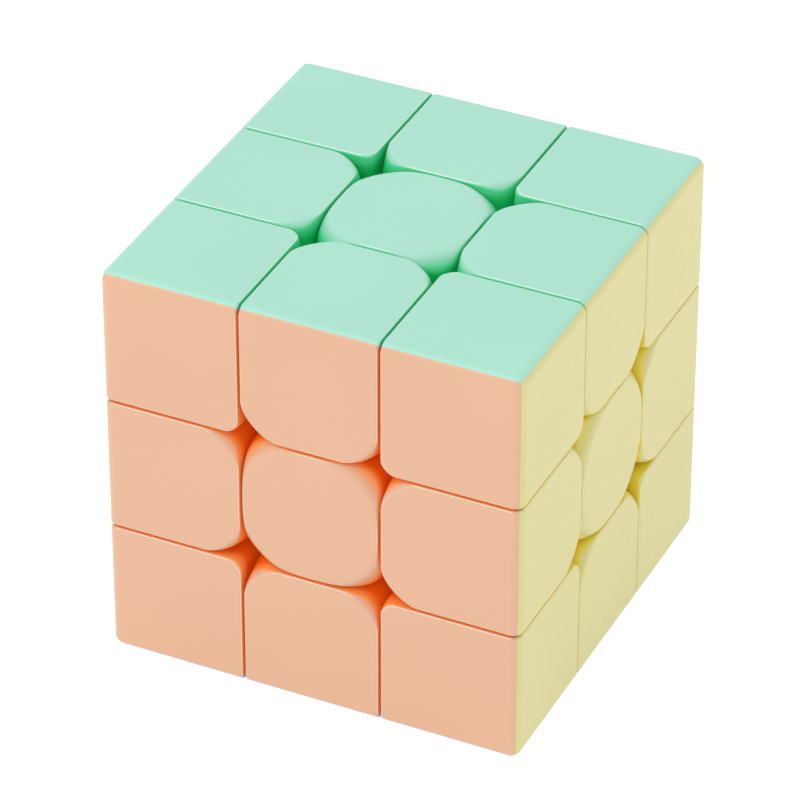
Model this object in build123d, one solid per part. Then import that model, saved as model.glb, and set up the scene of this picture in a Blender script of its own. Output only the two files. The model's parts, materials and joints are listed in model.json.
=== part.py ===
"""A stickerless 3 x 3 x 3 twisty cube, as a kit of separate moulded pieces.

The origin is the centre of the core. +Z is the top face, -Y the front and +X the right.
Every working surface is either a plane square to an axis or a sphere about the origin,
so each of the six faces can turn about its own axis without touching its neighbours.
"""
import os
from itertools import product
from math import sqrt

from build123d import *

# ---- driving dimensions, mm --------------------------------------------------------------
CUBE = 56.0             # across the whole cube
GAP = 0.30              # slit between neighbouring pieces
HALF = CUBE / 2
LAYER = CUBE / 6        # a layer's cutting plane, from the core's centre
SIDE = GAP / 2          # how far each piece stands back from a cutting plane
SMALL_BALL = 17.0       # radius of the ball that the feet ride on
LARGE_BALL = 20.0       # radius of the ball that parts the feet from the outer blocks
FOOT_PLANE = 5.4        # how far the feet reach past a cutting plane, from the centre

WALL = 1.2              # moulded wall
JOINT_FIT = 0.05        # between two pieces that are pressed or welded together
MITRE_FIT = 0.025       # from a 45 degree mitre plane to each of the two colours beside it

OUTER_ROUND = 1.4       # along the cube's own edges
RIM_ROUND = 0.6         # round the rim of every tile
FLARE = 0.45            # how fast an open corner's wall spreads with depth, mm per mm

CORNER_TILE_INSET = 2.0     # centre of a corner tile's rounded inner corner, from its sides
CORNER_TILE_RADIUS = 2.15
CORNER_TILE_DEPTH = 3.0     # how deep that rounding is cut
EDGE_TILE_INSET = 5.6       # the same for the two inner corners of an edge tile
EDGE_TILE_RADIUS = 5.8
EDGE_TILE_DEPTH = 5.0
CENTRE_TILE_RADIUS = 9.45   # a centre tile is a disc with four short flats
CENTRE_CAVITY_ROUND = 6.0   # upright corners inside a centre's cap, and of the collar in it
EDGE_CAVITY_ROUND = 4.0     # corners inside an edge, under its tiles' rounded corners
DEEP_ROUND = 1.0            # upright edges below the open corners

# the centre's hub, and what holds it on the core
HUB_RADIUS = 5.1
HUB_BOTTOM = 12.2
HUB_FLOOR = 14.2
HUB_TOP = 22.6
SPRING_POCKET = 3.6
SPLIT = 21.0            # where a centre's cap leaves its housing
COLLAR_HEIGHT = 2.6     # the housing's collar, inside the cap

CORE_BALL = 7.4
ARM_RADIUS = 4.0
ARM_END = 12.0
SCREW_RADIUS = 1.45
SCREW_TIP = 4.5
SCREW_FIT = 0.02
SWIVEL_FIT = 0.07       # the hub's hole round the screw
HEAD_RADIUS = 2.9
HEAD_HEIGHT = 1.8
SLOT_LENGTH = 4.0       # the cross recess in the head
SLOT_WIDTH = 0.8
SLOT_DEPTH = 1.2
WASHER_RADIUS = 3.3
WASHER_THICK = 0.5
SPRING_RADIUS = 2.7     # to the middle of the wire
SPRING_WIRE = 0.35
SPRING_PITCH = 1.35
SPRING_LENGTH = 6.4
STACK_FIT = 0.12        # between spring, washer and head

CORNER_FOOT_RADIUS = 8.8    # trims a corner's foot, about the cube's diagonal
EDGE_FOOT_RADIUS = 9.5      # trims an edge's foot, about its own diagonal
POST_RADIUS = 2.4           # post inside each corner and edge
POST_SHORT = 3.6            # how far its end stays inside the cube's faces

BIG = 4 * CUBE
NEAR = LAYER + SIDE         # nearest face of a piece beyond a cutting plane
FAR = LAYER - SIDE          # furthest face of a piece within two cutting planes
FOOT_NEAR = FOOT_PLANE + SIDE
FOOT_FAR = FOOT_PLANE - SIDE
FOOT_TOP = LARGE_BALL - SIDE
BLOCK_BOTTOM = LARGE_BALL + SIDE
INSIDE = NEAR + WALL
CLOSE = 1e-3
CORNER_DIAGONAL = Axis((0, 0, 0), (1, 1, 1))
EDGE_DIAGONAL = Axis((0, 0, 0), (0, 1, 1))

FACES = {
    "top": Vector(0, 0, 1),
    "bottom": Vector(0, 0, -1),
    "front": Vector(0, -1, 0),
    "back": Vector(0, 1, 0),
    "left": Vector(-1, 0, 0),
    "right": Vector(1, 0, 0),
}
BESIDE = {"top": "back", "bottom": "front", "front": "top", "back": "bottom", "left": "top", "right": "top"}


# ---- small helpers -----------------------------------------------------------------------
def span_box(low, high):
    """A box from its lowest corner to its highest."""
    size = [b - a for a, b in zip(low, high)]
    return Pos(*low) * Box(*size, align=(Align.MIN, Align.MIN, Align.MIN))


def half_space(normal, distance):
    """Everything further than a distance along a direction."""
    direction = Vector(*normal).normalized()
    plane = Plane(direction * distance, z_dir=direction)
    return plane * Box(BIG, BIG, BIG, align=(Align.CENTER, Align.CENTER, Align.MIN))


def rod(radius, start, end, direction=(0, 0, 1)):
    """A round bar from start to end, measured from the core's centre along a direction."""
    axis = Vector(*direction).normalized()
    plane = Plane(axis * start, z_dir=axis)
    return plane * Cylinder(radius, end - start, align=(Align.CENTER, Align.CENTER, Align.MIN))


def ball_shell(inner, outer):
    """A hollow ball about the core's centre."""
    return Sphere(outer) - Sphere(inner)


def one_solid(shape):
    """The single solid of a shape, without leftovers."""
    solids = sorted(shape.solids(), key=lambda s: s.volume)
    return solids[-1]


def placed(shape, z_face, y_face):
    """Turn a piece made about +Z and +Y so that those two sides lie on the faces named."""
    z_dir = FACES[z_face]
    x_dir = FACES[y_face].cross(z_dir)
    return Plane((0, 0, 0), x_dir=x_dir, z_dir=z_dir).location * shape


def save(name, solids):
    """Write one node: a single solid, or a group of separate ones."""
    solids = list(solids)
    shape = solids[0] if len(solids) == 1 else Compound(solids)
    shape.label = name
    export_step(shape, f"parts/{name}.step")


def flared_plug(radius, depth):
    """A round plug at the cube's surface that widens inwards, with a softened rim."""
    foot = HALF - depth
    with BuildSketch(Plane.XZ) as profile:
        with BuildLine():
            Polyline((0, HALF), (radius, HALF), (radius + FLARE * depth, foot), (0, foot), close=True)
        make_face()
        rim = profile.vertices().sort_by(Axis.Z)[-2:].sort_by(Axis.X)[-1]
        fillet(rim, RIM_ROUND)
    return revolve(profile.sketch, Axis.Z, 360)


def open_corner(x, y, side, inset, radius, depth):
    """What is cut away to round off the corner at x, y of a tile on the top face.
    The tile lies towards +Y of that corner, and to the given side of it in X."""
    centre_x, centre_y = x + side * inset, y + inset
    outside_x, outside_y = x - side, y - 1
    low = (min(centre_x, outside_x), outside_y, HALF - depth)
    high = (max(centre_x, outside_x), centre_y, HALF)
    plug = Pos(centre_x, centre_y, 0) * flared_plug(radius, depth)
    return span_box(low, high) - plug


# ---- corners -----------------------------------------------------------------------------
def corner_block():
    """The outer block of the corner between +X, +Y and +Z, solid."""
    block = span_box((NEAR, NEAR, NEAR), (HALF, HALF, HALF))
    outer = [e for e in block.edges() if sum(c > HALF - CLOSE for c in e.center()) == 2]
    block = fillet(outer, OUTER_ROUND)
    inner = [e for e in block.edges() if sum(c < NEAR + CLOSE for c in e.center()) == 2]
    block = fillet(inner, DEEP_ROUND)
    rim = [e for e in block.edges() if is_corner_rim(e.center())]
    block = fillet(rim, RIM_ROUND)
    cut = open_corner(NEAR, NEAR, 1, CORNER_TILE_INSET, CORNER_TILE_RADIUS, CORNER_TILE_DEPTH)
    for turn in range(3):
        block -= cut.rotate(CORNER_DIAGONAL, 120 * turn)
    return block


def is_corner_rim(point):
    """Whether an edge with this middle runs round a tile or round the end of a cube edge."""
    values = sorted(point)
    on_tile = values[2] > HALF - CLOSE and values[1] < HALF - OUTER_ROUND - CLOSE
    round_end = values[0] < NEAR + CLOSE and values[1] > HALF - OUTER_ROUND
    return on_tile or round_end


def corner_shells():
    """The three coloured shells of a corner: the parts of a hollow block nearest each face."""
    hollow = corner_block() - span_box((INSIDE,) * 3, (HALF - WALL,) * 3)
    hollow -= Sphere(BLOCK_BOTTOM)
    top = hollow & half_space((-1, 0, 1), MITRE_FIT) & half_space((0, -1, 1), MITRE_FIT)
    top = one_solid(top)
    return [top.rotate(CORNER_DIAGONAL, 120 * turn) for turn in range(3)]


def corner_foot():
    """Foot, neck and closing floor of a corner, with the post that carries its shells."""
    outside = (HALF,) * 3
    foot = ball_shell(SMALL_BALL, FOOT_TOP) & span_box((FOOT_NEAR,) * 3, outside)
    foot &= rod(CORNER_FOOT_RADIUS, 0, CUBE, (1, 1, 1))
    neck = ball_shell(SMALL_BALL, BLOCK_BOTTOM - JOINT_FIT) & span_box((NEAR,) * 3, outside)
    fit = INSIDE + JOINT_FIT
    floor = ball_shell(SMALL_BALL, BLOCK_BOTTOM + WALL) & span_box((fit,) * 3, outside)
    post_end = sqrt(3) * (HALF - POST_SHORT)
    post = rod(POST_RADIUS, LARGE_BALL, post_end, (1, 1, 1))
    post &= span_box((fit,) * 3, outside)
    return one_solid(foot + neck + floor + post)


# ---- edges -------------------------------------------------------------------------------
def edge_block():
    """The outer block of the edge between +Y and +Z, solid."""
    block = span_box((-FAR, NEAR, NEAR), (FAR, HALF, HALF))
    outer = [e for e in block.edges() if min(e.center().Y, e.center().Z) > HALF - CLOSE]
    block = fillet(outer, OUTER_ROUND)
    inner = [e for e in block.edges() if is_edge_inner(e.center())]
    block = fillet(inner, DEEP_ROUND)
    rim = [e for e in block.edges() if is_edge_rim(e.center())]
    block = fillet(rim, RIM_ROUND)
    for side in (-1, 1):
        cut = open_corner(side * FAR, NEAR, -side, EDGE_TILE_INSET, EDGE_TILE_RADIUS, EDGE_TILE_DEPTH)
        block = block - cut - cut.rotate(EDGE_DIAGONAL, 180)
    return block


def is_edge_inner(point):
    """Whether an edge with this middle runs down from an open corner of a tile."""
    low = min(point.Y, point.Z)
    return abs(point.X) > FAR - CLOSE and low < NEAR + CLOSE


def is_edge_rim(point):
    """Whether an edge with this middle runs round a tile or round the end of the cube's edge."""
    low, high = sorted((point.Y, point.Z))
    on_tile = high > HALF - CLOSE and low < HALF - OUTER_ROUND - CLOSE
    round_end = abs(point.X) > FAR - CLOSE and low > HALF - OUTER_ROUND
    return on_tile or round_end


def edge_cavity(fit):
    """The hollow inside an edge's shells, less a fit all round."""
    wide, near, far = FAR - WALL - fit, INSIDE + fit, HALF - WALL - fit
    cavity = span_box((-wide, near, near), (wide, far, far))
    rounded = [
        e for e in cavity.edges()
        if abs(e.center().X) > wide - CLOSE and min(e.center().Y, e.center().Z) < near + CLOSE
    ]
    return fillet(rounded, EDGE_CAVITY_ROUND - fit)


def edge_shells():
    """The two coloured shells of an edge."""
    hollow = edge_block() - edge_cavity(0) - Sphere(BLOCK_BOTTOM)
    top = one_solid(hollow & half_space((0, -1, 1), MITRE_FIT))
    return [top, top.rotate(EDGE_DIAGONAL, 180)]


def edge_foot():
    """Foot, neck and closing floor of an edge, with the post that carries its shells."""
    foot = span_box((-FOOT_FAR, FOOT_NEAR, FOOT_NEAR), (FOOT_FAR, HALF, HALF))
    foot &= ball_shell(SMALL_BALL, FOOT_TOP)
    foot &= rod(EDGE_FOOT_RADIUS, 0, CUBE, (0, 1, 1))
    neck = span_box((-FOOT_FAR, NEAR, NEAR), (FOOT_FAR, HALF, HALF))
    neck &= ball_shell(SMALL_BALL, BLOCK_BOTTOM - JOINT_FIT)
    floor = edge_cavity(JOINT_FIT) & ball_shell(BLOCK_BOTTOM, BLOCK_BOTTOM + WALL)
    through = span_box((-FOOT_FAR, NEAR, NEAR), (FOOT_FAR, HALF, HALF)) & edge_cavity(JOINT_FIT)
    through &= ball_shell(SMALL_BALL, BLOCK_BOTTOM + WALL)
    post = rod(POST_RADIUS, LARGE_BALL, sqrt(2) * (HALF - POST_SHORT), (0, 1, 1))
    return one_solid(foot + neck + through + floor + post)


# ---- centres -----------------------------------------------------------------------------
def centre_block():
    """The outer block of the top centre, solid, with its disc-like tile."""
    block = span_box((-FAR, -FAR, NEAR), (FAR, FAR, HALF))
    block = fillet(block.edges().filter_by(Axis.Z), DEEP_ROUND)
    block = fillet(block.faces().sort_by(Axis.Z)[-1].edges(), RIM_ROUND)
    depth = HALF - SPLIT
    upper = block & flared_plug(CENTRE_TILE_RADIUS, depth)
    lower = block & span_box((-HALF, -HALF, 0), (HALF, HALF, SPLIT))
    return upper, lower


def centre_pieces():
    """The coloured cap of the top centre, and the housing with the hub under it."""
    upper, lower = centre_block()
    inside = FAR - WALL
    cavity = fillet(
        span_box((-inside, -inside, 0), (inside, inside, HALF - WALL)).edges().filter_by(Axis.Z),
        CENTRE_CAVITY_ROUND,
    )
    cap = upper - cavity
    cap &= half_space((0, 0, 1), SPLIT + JOINT_FIT)

    housing = lower - (cavity - Sphere(BLOCK_BOTTOM + WALL)) - Sphere(BLOCK_BOTTOM)
    outer = inside - JOINT_FIT
    collar = span_box((-outer, -outer, SPLIT - WALL), (outer, outer, SPLIT + COLLAR_HEIGHT))
    collar = fillet(collar.edges().filter_by(Axis.Z), CENTRE_CAVITY_ROUND)
    thin = outer - WALL
    hole = span_box((-thin, -thin, 0), (thin, thin, HALF))
    collar -= fillet(hole.edges().filter_by(Axis.Z), CENTRE_CAVITY_ROUND - WALL / 2)
    hub = rod(HUB_RADIUS, HUB_BOTTOM, HUB_TOP)
    housing = housing + collar + hub
    housing -= rod(SPRING_POCKET, HUB_FLOOR, HALF)
    housing -= rod(SCREW_RADIUS + SWIVEL_FIT, HUB_BOTTOM - 1, HUB_FLOOR + 1)
    return one_solid(cap), one_solid(housing)


# ---- core and its hardware ---------------------------------------------------------------
def core():
    """The six-armed spider, with a blind screw hole down each arm."""
    body = Sphere(CORE_BALL)
    for direction in FACES.values():
        body += rod(ARM_RADIUS, 0, ARM_END, direction)
    for direction in FACES.values():
        body -= rod(SCREW_RADIUS + SCREW_FIT, SCREW_TIP - SCREW_FIT, HALF, direction)
    return one_solid(body)


def hardware():
    """Screw, washer and spring of the top centre, from the hub's floor outwards."""
    spring_low = HUB_FLOOR + STACK_FIT
    washer_low = spring_low + SPRING_LENGTH + STACK_FIT
    head_low = washer_low + WASHER_THICK + STACK_FIT
    screw = rod(SCREW_RADIUS, SCREW_TIP, head_low) + rod(HEAD_RADIUS, head_low, head_low + HEAD_HEIGHT)
    slot_floor = head_low + HEAD_HEIGHT - SLOT_DEPTH
    for x, y in ((SLOT_LENGTH / 2, SLOT_WIDTH / 2), (SLOT_WIDTH / 2, SLOT_LENGTH / 2)):
        screw -= span_box((-x, -y, slot_floor), (x, y, HALF))
    washer = rod(WASHER_RADIUS, washer_low, washer_low + WASHER_THICK)
    washer -= rod(SCREW_RADIUS + SWIVEL_FIT, 0, HALF)
    coil = Helix(SPRING_PITCH, SPRING_LENGTH - 2 * SPRING_WIRE, SPRING_RADIUS)
    wire = Plane(coil @ 0, z_dir=coil % 0) * Circle(SPRING_WIRE)
    spring = Pos(0, 0, spring_low + SPRING_WIRE) * sweep(wire, coil, is_frenet=True)
    return one_solid(screw), one_solid(washer), one_solid(spring)


# ---- the whole cube ----------------------------------------------------------------------
def write_parts():
    os.makedirs("parts", exist_ok=True)
    save("core", [core()])
    names = ("tension_screws", "screw_washers", "tension_springs")
    for name, piece in zip(names, hardware()):
        save(name, [placed(piece, face, BESIDE[face]) for face in FACES])

    cap, housing = centre_pieces()
    for face in FACES:
        save(f"centre_{face}_cap", [placed(cap, face, BESIDE[face])])
        save(f"centre_{face}_housing", [placed(housing, face, BESIDE[face])])

    shells, foot = edge_shells(), edge_foot()
    level = product(("top", "bottom"), ("front", "back", "left", "right"))
    upright = product(("front", "back"), ("left", "right"))
    for z_face, y_face in [*level, *upright]:
        name = f"edge_{z_face}_{y_face}"
        save(f"{name}_shells", [placed(s, z_face, y_face) for s in shells])
        save(f"{name}_foot", [placed(foot, z_face, y_face)])

    shells, foot = corner_shells(), corner_foot()
    for z_face, y_face, x_face in product(("top", "bottom"), ("front", "back"), ("left", "right")):
        name = f"corner_{z_face}_{y_face}_{x_face}"
        right_handed = (FACES[y_face].cross(FACES[z_face]) - FACES[x_face]).length < CLOSE
        second = y_face if right_handed else x_face
        save(f"{name}_shells", [placed(s, z_face, second) for s in shells])
        save(f"{name}_foot", [placed(foot, z_face, second)])


write_parts()
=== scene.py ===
"""A pastel stickerless cube puzzle on a white table, in soft studio light.

The coloured shells are meshed here, at a finer finish than the CAD, from a distance function
for each kind of tile. The feet, housings, core and metal parts are the CAD's own, repainted.
The distance functions and the mesher work in millimetres, and every finished piece is in metres.
"""
import json
import math

import bmesh
import bpy
import numpy as np
from mathutils import Matrix, Vector

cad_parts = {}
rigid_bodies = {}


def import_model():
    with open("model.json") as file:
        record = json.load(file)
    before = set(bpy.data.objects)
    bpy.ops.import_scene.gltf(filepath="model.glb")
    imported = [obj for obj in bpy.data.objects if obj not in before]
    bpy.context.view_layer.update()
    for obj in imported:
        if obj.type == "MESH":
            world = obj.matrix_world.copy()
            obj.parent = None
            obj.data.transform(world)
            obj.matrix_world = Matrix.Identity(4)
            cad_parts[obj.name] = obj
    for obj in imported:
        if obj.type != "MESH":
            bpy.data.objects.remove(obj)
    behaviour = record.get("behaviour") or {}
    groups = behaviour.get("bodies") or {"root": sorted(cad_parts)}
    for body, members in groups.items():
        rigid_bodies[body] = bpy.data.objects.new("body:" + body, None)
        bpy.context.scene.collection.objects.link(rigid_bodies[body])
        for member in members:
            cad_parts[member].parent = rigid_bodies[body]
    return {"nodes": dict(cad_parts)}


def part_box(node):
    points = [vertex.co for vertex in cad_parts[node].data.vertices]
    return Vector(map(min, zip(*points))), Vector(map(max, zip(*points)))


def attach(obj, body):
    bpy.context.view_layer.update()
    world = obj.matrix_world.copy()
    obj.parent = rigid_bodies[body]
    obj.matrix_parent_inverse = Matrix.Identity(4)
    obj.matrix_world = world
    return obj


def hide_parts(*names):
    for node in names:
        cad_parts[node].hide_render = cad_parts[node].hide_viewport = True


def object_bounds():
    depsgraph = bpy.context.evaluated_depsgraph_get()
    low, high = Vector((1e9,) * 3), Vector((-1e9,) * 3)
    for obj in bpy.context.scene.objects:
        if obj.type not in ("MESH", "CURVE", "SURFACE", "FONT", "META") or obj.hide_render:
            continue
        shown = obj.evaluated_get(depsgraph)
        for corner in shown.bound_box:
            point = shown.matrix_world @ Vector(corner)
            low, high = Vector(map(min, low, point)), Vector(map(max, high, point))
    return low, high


for leftover in list(bpy.data.objects):
    bpy.data.objects.remove(leftover)
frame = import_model()
cad_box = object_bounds()

MM = 0.001

# ---- the cube's sizes, mm, read from the frame where the frame has them --------------------
HALF = cad_box[1][2] / MM
LAYER = HALF / 3
SIDE = 0.15                 # half of the slit between neighbouring pieces
NEAR = LAYER + SIDE
FAR = LAYER - SIDE
BALL = 20.15                # the shells end on this ball round the core
WALL = 1.2
CAP_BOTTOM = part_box("centre_top_cap")[0].z / MM

OUTER_ROUND = 1.4           # along the cube's edges
RIM_ROUND = 0.32            # along the slits
CORNER_ROLL = 0.3           # how much rounder a rim is where four tiles meet, on a corner tile
EDGE_ROLL = 0.8             # and on an edge tile
FLAT_RADIUS = 9.6           # a centre tile is flat inside this circle
SLOPE = 0.95                # and falls away this steeply outside it, towards its corners
CREASE = 0.6                # softness of the line where that fall begins
CAVITY_ROUND = 2.0          # inside, where the walls meet the face
# upright corners of each tile: radius at the face, radius deep down, and the depth of the change
CORNER_UPRIGHT = (2.0, 1.0, 2.0)
EDGE_UPRIGHT = (5.3, 1.0, 4.5)
CENTRE_UPRIGHT = (4.6, 2.0, 5.0)
SEAM = 0.004                # each colour stands back this far from the plane between colours
SOFT = 0.12                 # rounding of the inner rims

VOXEL = 0.25                # mesher's cell
MARGIN = (2.37, 3)          # cells added before and after a block; uneven, so that no flat face
                            # lies in a plane of the grid
PASSES = 4                  # steps that pull the vertices on to the surface
KEEP = 0.16                 # share of the triangles that thinning leaves
MERGE = 1e-4                # vertices nearer than this are one, mm

FACE_NORMAL = {
    "top": Vector((0, 0, 1)), "bottom": Vector((0, 0, -1)),
    "front": Vector((0, -1, 0)), "back": Vector((0, 1, 0)),
    "left": Vector((-1, 0, 0)), "right": Vector((1, 0, 0)),
}


# ---- distance functions --------------------------------------------------------------------
def round_and(a, b, radius):
    """Where both hold, with the convex edge between them rounded to a radius."""
    ra, rb = np.maximum(a + radius, 0), np.maximum(b + radius, 0)
    return np.sqrt(ra * ra + rb * rb) - radius + np.minimum(np.maximum(a + radius, b + radius), 0)


def soft_and(a, b, softness):
    """Where both hold, with a soft crease between two nearly level surfaces."""
    overlap = np.maximum(softness - np.abs(a - b), 0) / softness
    return np.maximum(a, b) + overlap ** 2 * softness / 4


def column(u, v, depth, wide, deep, fade):
    """Side walls of a tile: u and v are how far a point is outside two neighbouring sides.
    The upright corner between them is rounded by wide at the surface, easing to deep below.
    Also gives how far round the corner the point is, 0 on a side and 1 at 45 degrees."""
    radius = deep + (wide - deep) * np.exp(-np.maximum(depth, 0) / fade)
    ru, rv = np.maximum(u + radius, 0), np.maximum(v + radius, 0)
    turn = 2 * ru * rv / np.maximum(ru * ru + rv * rv, radius * radius)
    return round_and(u, v, radius), turn


def outer_skin(x, y, z):
    """The cube itself, with its edges and corners rounded."""
    q = [np.maximum(c - (HALF - OUTER_ROUND), 0) for c in (x, y, z)]
    inside = np.minimum(np.maximum.reduce([x, y, z]) - (HALF - OUTER_ROUND), 0)
    return np.sqrt(q[0] ** 2 + q[1] ** 2 + q[2] ** 2) - OUTER_ROUND + inside


def hollowed(walls, rim, skin):
    """A block between its side walls and the cube's skin, with its rim rounded, hollowed."""
    body = round_and(walls, skin, rim)
    cavity = round_and(walls + WALL, skin + WALL, CAVITY_ROUND)
    return round_and(body, -cavity, SOFT)


def corner_block(p):
    """The hollow corner between +X, +Y and +Z, open towards the ball. Its three thirds are
    alike, so it is worked out in the third nearest +Z."""
    low, middle, z = np.sort(p, axis=0)
    walls, turn = column(NEAR - low, NEAR - middle, HALF - z, *CORNER_UPRIGHT)
    shell = hollowed(walls, RIM_ROUND + CORNER_ROLL * turn ** 2, outer_skin(low, middle, z))
    return round_and(shell, BALL - np.linalg.norm(p, axis=0), SOFT)


def edge_block(p):
    """The hollow edge between +Y and +Z, worked out in the half nearest +Z."""
    x, y, z = p[0], np.minimum(p[1], p[2]), np.maximum(p[1], p[2])
    walls, turn = column(np.abs(x) - FAR, NEAR - y, HALF - z, *EDGE_UPRIGHT)
    shell = hollowed(walls, RIM_ROUND + EDGE_ROLL * turn ** 2, outer_skin(x * 0, y, z))
    return round_and(shell, BALL - np.linalg.norm(p, axis=0), SOFT)


def centre_block(p):
    """The hollow cap of the top centre, open below. Its top is flat and round in the middle,
    and falls away as a cone to a rim that is nearly square."""
    x, y, z = p
    walls, _ = column(np.abs(x) - FAR, np.abs(y) - FAR, HALF - z, *CENTRE_UPRIGHT)
    fall = (z - HALF + SLOPE * (np.hypot(x, y) - FLAT_RADIUS)) / math.hypot(1, SLOPE)
    shell = hollowed(walls, RIM_ROUND, soft_and(z - HALF, fall, CREASE))
    return round_and(shell, CAP_BOTTOM - z, SOFT)


def gradient(f, p, step=0.01):
    """The function's unit normal at points given as three rows."""
    g = np.empty_like(p)
    for axis in range(3):
        offset = np.zeros((3, 1))
        offset[axis] = step
        g[axis] = f(p + offset) - f(p - offset)
    return g / np.maximum(np.linalg.norm(g, axis=0), 1e-12)


def settle(f, p):
    """Pull points on to the surface where the function is zero."""
    for _ in range(PASSES):
        p = p - gradient(f, p) * f(p)
    return p


# ---- from a distance function to a mesh ----------------------------------------------------
def surface_net(f, low, high):
    """Vertices and quads of the surface f = 0 inside a box: one vertex in each cell that the
    surface crosses, and one quad for each grid edge that it crosses."""
    before, after = MARGIN
    axes = [np.arange(a - before * VOXEL, b + after * VOXEL, VOXEL) for a, b in zip(low, high)]
    grid = np.stack(np.meshgrid(*axes, indexing="ij"))
    shape = grid.shape[1:]
    value = f(grid.reshape(3, -1)).reshape(shape)
    inside = value < 0
    total = np.zeros([3] + [n - 1 for n in shape])
    count = np.zeros([n - 1 for n in shape])
    crossings = []
    for axis in range(3):
        first, second = [slice(None)] * 3, [slice(None)] * 3
        first[axis], second[axis] = slice(0, -1), slice(1, None)
        first, second = tuple(first), tuple(second)
        crossed = inside[first] != inside[second]
        where = np.argwhere(crossed)
        a, b = value[first][crossed], value[second][crossed]
        point = grid[(slice(None),) + first][:, crossed].copy()
        point[axis] += VOXEL * a / (a - b)
        others = [k for k in range(3) if k != axis]
        ring = []
        for du, dv in ((0, 0), (-1, 0), (-1, -1), (0, -1)):
            cell = where.copy()
            cell[:, others[0]] += du
            cell[:, others[1]] += dv
            ring.append(cell)
            index = tuple(cell.T)
            for k in range(3):
                np.add.at(total[k], index, point[k])
            np.add.at(count, index, 1)
        flip = inside[first][crossed]
        if axis == 1:           # x and z go the other way round y
            flip = ~flip
        crossings.append((ring, flip))
    number = np.full(count.shape, -1)
    number[count > 0] = np.arange((count > 0).sum())
    points = total[:, count > 0] / count[count > 0]
    quads = []
    for ring, flip in crossings:
        corners = np.stack([number[tuple(cell.T)] for cell in ring], axis=1)
        corners[~flip] = corners[~flip][:, ::-1]
        quads.append(corners)
    return points, np.concatenate(quads)


def thinned(mesh):
    """The mesh with fewer triangles where it is flat."""
    holder = bpy.data.objects.new("holder", mesh)
    bpy.context.scene.collection.objects.link(holder)
    thin = holder.modifiers.new("thin", "DECIMATE")
    thin.ratio = KEEP
    evaluated = holder.evaluated_get(bpy.context.evaluated_depsgraph_get())
    result = bpy.data.meshes.new_from_object(evaluated)
    bpy.data.objects.remove(holder)
    return result


def cut(bm, point, normal):
    """Cut away what lies on the normal's side of a plane, and close the cut with a flat face."""
    geometry = [*bm.verts, *bm.edges, *bm.faces]
    bmesh.ops.bisect_plane(
        bm, geom=geometry, dist=MERGE, plane_co=point, plane_no=normal, clear_outer=True)
    rim = [e for e in bm.edges if e.is_boundary]
    for face in bmesh.ops.holes_fill(bm, edges=rim)["faces"]:
        face.smooth = False


def blank(name, block, low, high):
    """The uncut mesh of a block, in millimetres, with its vertices on the surface."""
    points, quads = surface_net(block, low, high)
    net = bpy.data.meshes.new(name + "_net")
    net.from_pydata(points.T.tolist(), [], quads.tolist())
    mesh = thinned(net)
    settled = settle(block, np.array([v.co for v in mesh.vertices]).T)
    mesh.vertices.foreach_set("co", settled.T.ravel())
    mesh.polygons.foreach_set("use_smooth", [True] * len(mesh.polygons))
    return mesh


def shell_mesh(name, block, low, high, planes):
    """One coloured shell, shared by every piece of that kind: a blank, cut by planes from its
    neighbours of other colours. Its normals are the distance function's own."""
    bm = bmesh.new()
    bm.from_mesh(blank(name, block, low, high))
    pinched = [edge for edge in bm.edges if len(edge.link_faces) > 2]
    bmesh.ops.collapse(bm, edges=pinched)
    for point, normal in planes:
        cut(bm, point, normal)
    bmesh.ops.dissolve_degenerate(bm, dist=MERGE, edges=bm.edges)
    bmesh.ops.triangulate(bm, faces=bm.faces)
    bmesh.ops.recalc_face_normals(bm, faces=bm.faces)
    mesh = bpy.data.meshes.new(name)
    bm.to_mesh(mesh)
    bm.free()
    places = np.array([v.co for v in mesh.vertices]).T
    normals = gradient(block, places).T
    mesh.transform(Matrix.Scale(MM, 4))
    split = []
    for polygon in mesh.polygons:
        for corner in polygon.vertices:
            split.append(tuple(normals[corner]) if polygon.use_smooth else tuple(polygon.normal))
    mesh.normals_split_custom_set(split)
    return mesh


# ---- materials -----------------------------------------------------------------------------
# each face's plastic: its pastel, then richer and deep colours painted as shade and bounced light
# just inside a gap and deep in one
PLASTICS = {
    "top": ("mint", (0.290, 0.562, 0.448), (0.06, 0.50, 0.23), (0.004, 0.40, 0.10)),
    "front": ("peach", (0.575, 0.334, 0.211), (0.70, 0.24, 0.06), (0.70, 0.11, 0.003)),
    "right": ("yellow", (0.534, 0.496, 0.208), (0.60, 0.52, 0.06), (0.58, 0.38, 0.006)),
    "bottom": ("blue", (0.30, 0.49, 0.70), (0.06, 0.31, 0.66), (0.01, 0.17, 0.54)),
    "back": ("pink", (0.68, 0.35, 0.40), (0.68, 0.13, 0.20), (0.60, 0.03, 0.09)),
    "left": ("white", (0.68, 0.68, 0.64), (0.60, 0.58, 0.51), (0.46, 0.43, 0.35)),
}
# where each change of colour starts and where it is complete, in mm below the face
SLOPE_SHADE = (0.2, 1.5)     # to the richer colour of painted shade, on a slope
WALL_SHADE = (0.06, 0.28)    # to the richer colour of painted shade, on an upright wall
DEEP_SHADE = (0.9, 2.3)      # to the deep colour of painted shade
RIM_HIGHLIGHT_DEPTHS = (0.05, 0.16)   # from a tile's rim with its painted highlight
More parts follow.
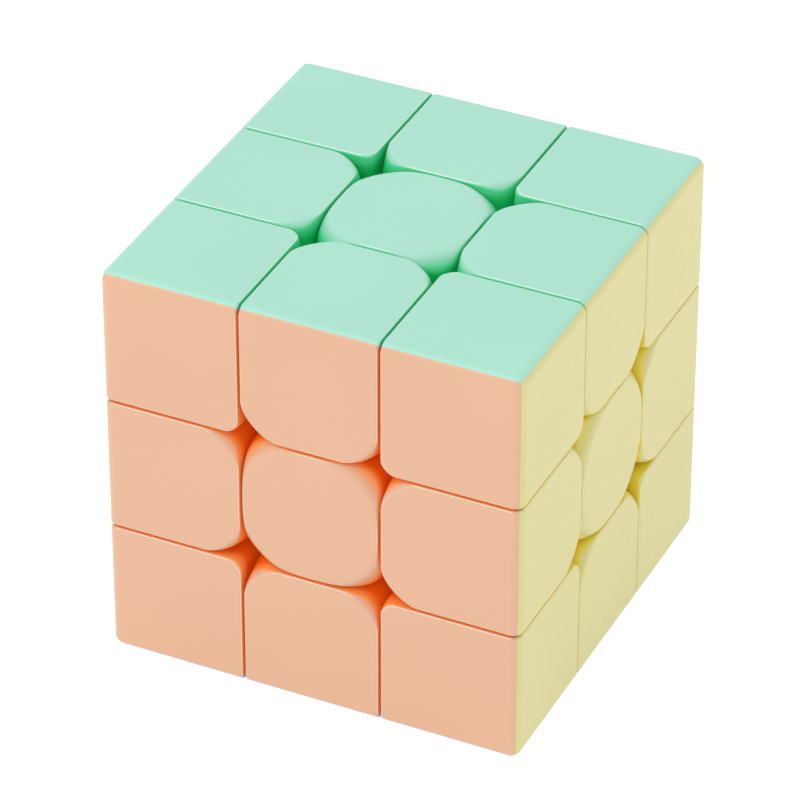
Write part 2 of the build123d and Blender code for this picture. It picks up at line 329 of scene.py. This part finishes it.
# the same, in how level the surface is, from 1 for the face itself to 0 for an upright wall
WALL_LEVEL = (0.7, 0.35)    # to a wall
RIM_LEVEL = (0.93, 0.75)    # to a rim, for its painted highlight
OUTER_FADE = 0.5            # mm over which the painted shade, the painted rim highlight and the painted glow end, where the cube's own rounded edges begin
                            # cube's own rounded edges begin
RIM_HIGHLIGHT = 0.65            # how strong the painted highlight on a rim is
RIM_HIGHLIGHT_PASTEL = 0.3           # how much of its pastel a rim keeps under the painted highlight
GLOW = 0.15                 # painted glow: emission in the gaps, standing in for light that comes through the thin walls
DRIFT = 0.05                # how much darker the plastic's darkest clouds are
CLOUD = 60                  # noise cells in a metre: the slow drift of tone in the plastic
GRAIN = 1800                # and the fine texture of the mould
GRAIN_HEIGHT = 0.006 * MM
USUAL_NOISE = (0.3, 0.7)    # a noise node gives little outside this range


class Shader:
    """A material's node tree, with a Principled shader and short ways to add nodes. Each of them
    takes and gives sockets, unless it says otherwise."""

    def __init__(self, name):
        self.material = bpy.data.materials.new(name)
        self.material.use_nodes = True
        self.tree = self.material.node_tree
        self.principled = self.tree.nodes["Principled BSDF"]
        self.place = self.add("ShaderNodeTexCoord").outputs["Object"]

    def add(self, kind, **settings):
        """A new node."""
        node = self.tree.nodes.new(kind)
        for name, value in settings.items():
            setattr(node, name, value)
        return node

    def link(self, output, socket):
        self.tree.links.new(output, socket)

    def noise(self, scale, detail):
        """Noise from 0 to 1, with a number of cells in a metre."""
        node = self.add("ShaderNodeTexNoise")
        node.inputs["Scale"].default_value = scale
        node.inputs["Detail"].default_value = detail
        self.link(self.place, node.inputs["Vector"])
        return node.outputs["Fac"]

    def ranged(self, value, low, high, to_low, to_high, kind="LINEAR"):
        """A value moved from one range to another. The ranges are numbers."""
        node = self.add("ShaderNodeMapRange", interpolation_type=kind)
        node.inputs["From Min"].default_value = low
        node.inputs["From Max"].default_value = high
        node.inputs["To Min"].default_value = to_low
        node.inputs["To Max"].default_value = to_high
        self.link(value, node.inputs["Value"])
        return node.outputs["Result"]

    def step(self, value, start, end):
        """A smooth step, 0 at the number start and 1 at the number end."""
        return self.ranged(value, start, end, 0, 1, "SMOOTHSTEP")

    def mix(self, share, first, second):
        """A colour mix. Each colour is a socket or three numbers."""
        node = self.add("ShaderNodeMix", data_type="RGBA")
        self.link(share, node.inputs["Factor"])
        for colour, socket in ((first, node.inputs["A"]), (second, node.inputs["B"])):
            if isinstance(colour, tuple):
                socket.default_value = (*colour, 1)
            else:
                self.link(colour, socket)
        return node.outputs["Result"]

    def parts(self, vector):
        """The three components of a vector."""
        node = self.add("ShaderNodeSeparateXYZ")
        self.link(vector, node.inputs["Vector"])
        return [node.outputs[axis] for axis in "XYZ"]

    def maths(self, operation, a, b):
        """One arithmetic step on two values."""
        node = self.add("ShaderNodeMath", operation=operation)
        self.link(a, node.inputs[0])
        self.link(b, node.inputs[1])
        return node.outputs["Value"]

    def satin(self, value, smoothest, roughest):
        """Roughness between two numbers, by a noise value."""
        roughness = self.ranged(value, *USUAL_NOISE, smoothest, roughest)
        self.link(roughness, self.principled.inputs["Roughness"])

    def bump(self, height, distance):
        """Fine relief. The distance is a number, in metres."""
        node = self.add("ShaderNodeBump")
        node.inputs["Distance"].default_value = distance
        self.link(height, node.inputs["Height"])
        self.link(node.outputs["Normal"], self.principled.inputs["Normal"])


def shell_plastic(face):
    """Satin moulded plastic for shells that share one mesh, with painted shade, a painted rim
    highlight and a painted glow at its gaps. HALF less a piece's own Z is its depth below the
    face, and its own X and Y only pass the start of the outer round on that round."""
    name, pastel, gap_shade, deep = PLASTICS[face]
    s = Shader(name + "_plastic")
    x, y, z = s.parts(s.place)
    level = s.parts(s.tree.nodes["Texture Coordinate"].outputs["Normal"])[2]

    def below(start, end):
        return s.step(z, (HALF - start) * MM, (HALF - end) * MM)

    round_start = (HALF - OUTER_ROUND) * MM
    inner = s.step(s.maths("MAXIMUM", x, y), round_start + OUTER_FADE * MM, round_start)
    # painted shade: richer colour down a gap's walls and slopes, deep colour further in, for the
    # shade and bounced light there
    wall = s.maths("MULTIPLY", s.step(level, *WALL_LEVEL), below(*WALL_SHADE))
    near = s.maths("MAXIMUM", wall, below(*SLOPE_SHADE))
    far = below(*DEEP_SHADE)
    # painted highlight: the rim by the face is mixed towards white
    rim = s.maths("MULTIPLY", s.step(level, *RIM_LEVEL), below(*reversed(RIM_HIGHLIGHT_DEPTHS)))
    rim = s.ranged(s.maths("MULTIPLY", rim, inner), 0, 1, 0, RIM_HIGHLIGHT)
    # painted glow: the gaps' walls and depths emit their deep colour
    glow = s.maths("MULTIPLY", s.maths("MAXIMUM", far, wall), inner)
    grain = s.noise(GRAIN, 3.0)

    colour = s.mix(s.noise(CLOUD, 1.0), pastel, tuple(c * (1 - DRIFT) for c in pastel))
    # the painted shade of the gaps goes on here
    colour = s.mix(s.maths("MULTIPLY", near, inner), colour, gap_shade)
    colour = s.mix(far, colour, deep)
    # the painted rim highlight goes on here
    colour = s.mix(rim, colour, tuple(1 - (1 - c) * RIM_HIGHLIGHT_PASTEL for c in pastel))
    s.link(colour, s.principled.inputs["Base Color"])
    s.link(s.ranged(glow, 0, 1, 0, GLOW), s.principled.inputs["Emission Strength"])
    s.principled.inputs["Emission Color"].default_value = (*deep, 1)
    s.principled.inputs["Specular IOR Level"].default_value = 0.45
    s.satin(grain, 0.36, 0.46)
    s.bump(grain, GRAIN_HEIGHT)
    return s.material


def inner_plastic():
    """Unpigmented plastic of the feet and housings, with faint flow marks."""
    s = Shader("inner_plastic")
    flow = s.noise(CLOUD * 4, 3.0)
    s.link(s.mix(flow, (0.80, 0.78, 0.72), (0.72, 0.70, 0.63)), s.principled.inputs["Base Color"])
    s.satin(flow, 0.40, 0.52)
    s.bump(s.noise(GRAIN, 3.0), GRAIN_HEIGHT)
    return s.material


def core_nylon():
    """Off-white nylon of the core, a little rougher than the feet."""
    s = Shader("core_nylon")
    flow = s.noise(CLOUD * 5, 4.0)
    s.link(s.mix(flow, (0.86, 0.86, 0.83), (0.74, 0.74, 0.71)), s.principled.inputs["Base Color"])
    s.satin(flow, 0.45, 0.6)
    s.bump(s.noise(GRAIN / 2, 4.0), 0.01 * MM)
    return s.material


def steel(name, bright, dark, scale):
    """Plated or drawn steel with fine streaks of wear."""
    s = Shader(name)
    streaks = s.noise(scale, 6.0)
    s.link(s.mix(streaks, bright, dark), s.principled.inputs["Base Color"])
    s.principled.inputs["Metallic"].default_value = 1.0
    s.satin(streaks, 0.22, 0.42)
    s.bump(streaks, 0.004 * MM)
    return s.material


def paint(obj, material):
    """Put one material on all of an object."""
    obj.data.materials.clear()
    obj.data.materials.append(material)


plastics = {face: shell_plastic(face) for face in PLASTICS}
feet = inner_plastic()
plated = steel("screw_steel", (0.62, 0.62, 0.64), (0.48, 0.48, 0.50), 900)
drawn = steel("spring_steel", (0.55, 0.56, 0.58), (0.36, 0.37, 0.39), 1500)
carried_over = {
    "core": core_nylon(),
    "tension_screws": plated,
    "screw_washers": plated,
    "tension_springs": drawn,
}
for node_name, node in frame["nodes"].items():
    paint(node, carried_over.get(node_name, feet))


# ---- the coloured pieces -------------------------------------------------------------------
def seam(axis):
    """The plane that parts a face's colour from the next face's, at 45 degrees. Axis is the
    piece's own axis towards that face."""
    across = [0, 0, -math.sqrt(0.5)]
    across[axis] = math.sqrt(0.5)
    return (0, 0, SEAM * math.sqrt(2)), tuple(across)


# each kind's block, the lowest and highest corners of the box that it fills, and its seams
BLOCKS = {
    "corner": (corner_block, (NEAR,) * 3, (HALF,) * 3, [seam(0), seam(1)]),
    "edge": (edge_block, (-FAR, NEAR, NEAR), (FAR, HALF, HALF), [seam(1)]),
    "cap": (centre_block, (-FAR, -FAR, CAP_BOTTOM), (FAR, FAR, HALF), []),
}
SHELLS = {kind: shell_mesh(kind + "_shell", *block) for kind, block in BLOCKS.items()}


def put(kind, name, face, beside, body, node):
    """One coloured shell on a face, turned so that the last face beside it is towards the
    piece's own +Y. On a corner, the one before that is then towards its +X."""
    up, across = FACE_NORMAL[face], FACE_NORMAL[beside[-1]]
    piece = bpy.data.objects.new(name, SHELLS[kind].copy())
    piece.matrix_world = Matrix((across.cross(up), across, up)).transposed().to_4x4()
    bpy.context.scene.collection.objects.link(piece)
    paint(piece, plastics[face])
    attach(piece, body)
    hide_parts(node)


for node_name in sorted(frame["nodes"]):
    kind, *faces = node_name.removesuffix("_shells").removesuffix("_cap").split("_")
    if kind == "centre" and node_name.endswith("_cap"):
        beside = "back" if faces[0] in ("top", "bottom") else "top"
        put("cap", f"{faces[0]}_cap", faces[0], [beside], f"cap_{faces[0]}", node_name)
    elif kind == "edge" and node_name.endswith("_shells"):
        for face, other in (faces, faces[::-1]):
            put(kind, f"{node_name}_{face}", face, [other], "_".join([kind, *faces]), node_name)
    elif kind == "corner" and node_name.endswith("_shells"):
        for face in faces:
            beside = [other for other in faces if other != face]
            if FACE_NORMAL[beside[1]].cross(FACE_NORMAL[face]).dot(FACE_NORMAL[beside[0]]) < 0:
                beside.reverse()
            put(kind, f"{node_name}_{face}", face, beside, "_".join([kind, *faces]), node_name)


# ---- floor, light and camera, in metres and degrees ----------------------------------------
FLOOR_HALF = 4.0
FLOOR_TONES = (0.58, 0.58, 0.58), (0.61, 0.61, 0.61)
FLOOR_CLOUD = 6             # noise cells in a metre
FLOOR_GLOW = 0.65
WORLD_LIGHT = 1.1
CAMERA_AZIMUTH = 25.29
CAMERA_ELEVATION = 34.21
CAMERA_ROLL = 0.05
CAMERA_DISTANCE = 0.6277    # from the point that it looks at
CAMERA_LENS = 225.65        # mm
CAMERA_SENSOR = 36          # mm
AIM_UP = 0.00019            # that point, from the cube's centre, as the picture shows it
AIM_LEFT = 0.00096


def outwards(azimuth, elevation):
    """The direction from the cube. Azimuth 0 is in front, and 90 to the right."""
    a, e = math.radians(azimuth), math.radians(elevation)
    return Vector((math.sin(a) * math.cos(e), -math.cos(a) * math.cos(e), math.sin(e)))


def make_floor():
    """A broad pale table top under the cube, which glows a little like a light table."""
    h = FLOOR_HALF
    mesh = bpy.data.meshes.new("floor")
    mesh.from_pydata([(-h, -h, 0), (h, -h, 0), (h, h, 0), (-h, h, 0)], [], [(0, 1, 2, 3)])
    floor = bpy.data.objects.new("floor", mesh)
    floor.location = (0, 0, cad_box[0][2])
    bpy.context.scene.collection.objects.link(floor)
    s = Shader("floor")
    s.link(s.mix(s.noise(FLOOR_CLOUD, 2.0), *FLOOR_TONES), s.principled.inputs["Base Color"])
    s.principled.inputs["Roughness"].default_value = 0.9
    s.principled.inputs["Specular IOR Level"].default_value = 0.1
    s.principled.inputs["Emission Color"].default_value = (1, 1, 1, 1)
    s.principled.inputs["Emission Strength"].default_value = FLOOR_GLOW
    paint(floor, s.material)


def softbox(name, azimuth, elevation, distance, size, watts):
    """A square soft light that looks at the cube."""
    light = bpy.data.lights.new(name, "AREA")
    light.size = size
    light.energy = watts
    lamp = bpy.data.objects.new(name, light)
    away = outwards(azimuth, elevation)
    lamp.location = away * distance
    lamp.rotation_euler = away.to_track_quat("Z", "Y").to_euler()
    bpy.context.scene.collection.objects.link(lamp)


def make_light():
    """A white world, with a key light from the left and a fill light from the right."""
    scene = bpy.context.scene
    scene.view_settings.view_transform = "Standard"
    scene.world = bpy.data.worlds.new("studio")
    scene.world.use_nodes = True
    background = scene.world.node_tree.nodes["Background"]
    background.inputs["Color"].default_value = (1, 1, 1, 1)
    background.inputs["Strength"].default_value = WORLD_LIGHT
    softbox("key", azimuth=-35, elevation=50, distance=0.9, size=0.6, watts=3.0)
    softbox("fill", azimuth=95, elevation=30, distance=1.1, size=0.8, watts=0.8)


def make_camera():
    """A long lens, in front, to the right of the cube and above it."""
    back = outwards(CAMERA_AZIMUTH, CAMERA_ELEVATION)
    right = outwards(CAMERA_AZIMUTH + 90, 0)
    up = back.cross(right)
    roll = math.radians(CAMERA_ROLL)
    across = right * math.cos(roll) + up * math.sin(roll)
    place = up * AIM_UP - right * AIM_LEFT + back * CAMERA_DISTANCE
    data = bpy.data.cameras.new("camera")
    data.lens = CAMERA_LENS
    data.sensor_width = CAMERA_SENSOR
    data.clip_start = 0.01
    camera = bpy.data.objects.new("camera", data)
    turned = Matrix((across, back.cross(across), back)).transposed()
    camera.matrix_world = Matrix.Translation(place) @ turned.to_4x4()
    bpy.context.scene.collection.objects.link(camera)
    bpy.context.scene.camera = camera


make_floor()
make_light()
make_camera()

bpy.context.view_layer.update()
